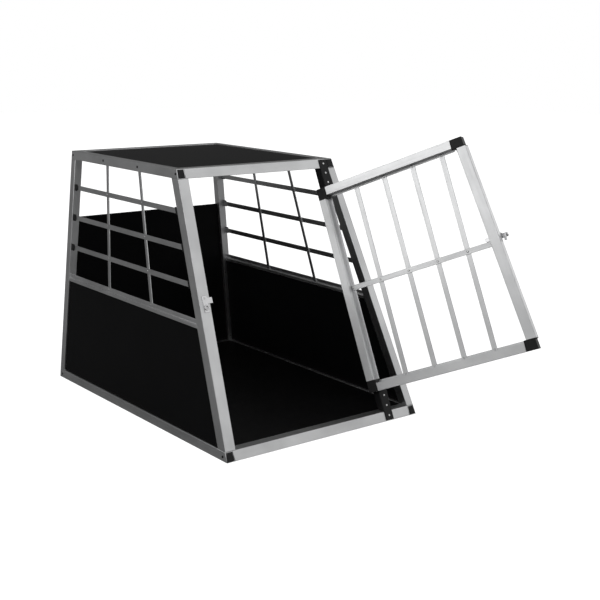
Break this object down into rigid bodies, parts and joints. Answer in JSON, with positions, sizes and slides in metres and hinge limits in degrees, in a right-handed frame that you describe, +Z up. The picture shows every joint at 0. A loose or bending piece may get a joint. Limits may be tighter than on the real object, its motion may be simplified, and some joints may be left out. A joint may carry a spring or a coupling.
{
  "type": "dog transport crate",
  "caption": "Sloping aluminium-tube car crate for a dog, black boards below open flat-bar grilles, one swinging barred door with a turn latch.",
  "frame": {"origin": "on the floor, midway along the front bottom edge of the crate", "axes": "+Z up, +Y from the door end to the rear, +X to the hinge side of the doorway"},
  "size_m": [0.7668, 1.269, 0.7815],
  "materials": {
    "aluminium_tube": "satin",
    "flat_bar": "satin",
    "black_board": "satin black laminate",
    "black_plastic": "satin",
    "latch_metal": "polished",
    "steel_fixings": "satin"
  },
  "bodies": {
    "frame": {"board_left": "black_board", "board_rear": "black_board", "board_right": "black_board", "bottom_rail_front": "aluminium_tube", "bottom_rail_left": "aluminium_tube", "bottom_rail_rear": "aluminium_tube", "bottom_rail_right": "aluminium_tube", "floor_board": "black_board", "frame_screws": "steel_fixings", "grille_bar_left_1": "flat_bar", "grille_bar_left_2": "flat_bar", "grille_bar_left_3": "flat_bar", "grille_bar_right_1": "flat_bar", "grille_bar_right_2": "flat_bar", "grille_bar_right_3": "flat_bar", "grille_clips_left": "black_plastic", "grille_clips_right": "black_plastic", "grille_rivets": "steel_fixings", "grille_slats_left": "flat_bar", "grille_slats_right": "flat_bar", "hinge_pins": "steel_fixings", "hinge_plate_bottom": "black_plastic", "hinge_plate_top": "black_plastic", "hinge_post_bottom": "black_plastic", "hinge_post_top": "black_plastic", "hinge_rivets": "steel_fixings", "latch_keeper": "latch_metal", "mid_rail_left": "aluminium_tube", "mid_rail_right": "aluminium_tube", "rail_end_plugs": "black_plastic", "rail_rivets": "steel_fixings", "roof_board": "black_board", "screw_dots": "black_plastic", "top_rail_front": "aluminium_tube", "top_rail_left": "aluminium_tube", "top_rail_rear": "aluminium_tube", "top_rail_right": "aluminium_tube", "upright_front_left": "aluminium_tube", "upright_front_right": "aluminium_tube", "upright_rear_left": "aluminium_tube", "upright_rear_right": "aluminium_tube"},
    "door": {"door_bar_1": "flat_bar", "door_bar_2": "flat_bar", "door_bar_3": "flat_bar", "door_bar_4": "flat_bar", "door_corner_free_bottom": "black_plastic", "door_corner_free_top": "black_plastic", "door_corner_hinge_bottom": "black_plastic", "door_corner_hinge_top": "black_plastic", "door_cross_bar": "flat_bar", "door_rail_bottom": "aluminium_tube", "door_rail_top": "aluminium_tube", "door_rivets": "steel_fixings", "door_stile_free": "aluminium_tube", "door_stile_hinge": "aluminium_tube", "latch_ring": "latch_metal"},
    "latch": {"latch_shaft": "steel_fixings", "latch_handle": "latch_metal", "latch_cam": "latch_metal", "latch_nut": "steel_fixings"}
  },
  "joints": [
    {"name": "door_hinge", "type": "hinge", "parent": "frame", "child": "door", "pos_m": [0.21702, 0.17241, 0.34337], "axis": [0, 0.4182, 0.9083], "range_deg": [-114.4, 0]},
    {"name": "latch_turn", "type": "hinge", "parent": "door", "child": "latch", "pos_m": [0.40191, -0.19114, 0.52837], "axis": [-0.9107, -0.3752, 0.1728], "range_deg": [0, 65]}
  ]
}
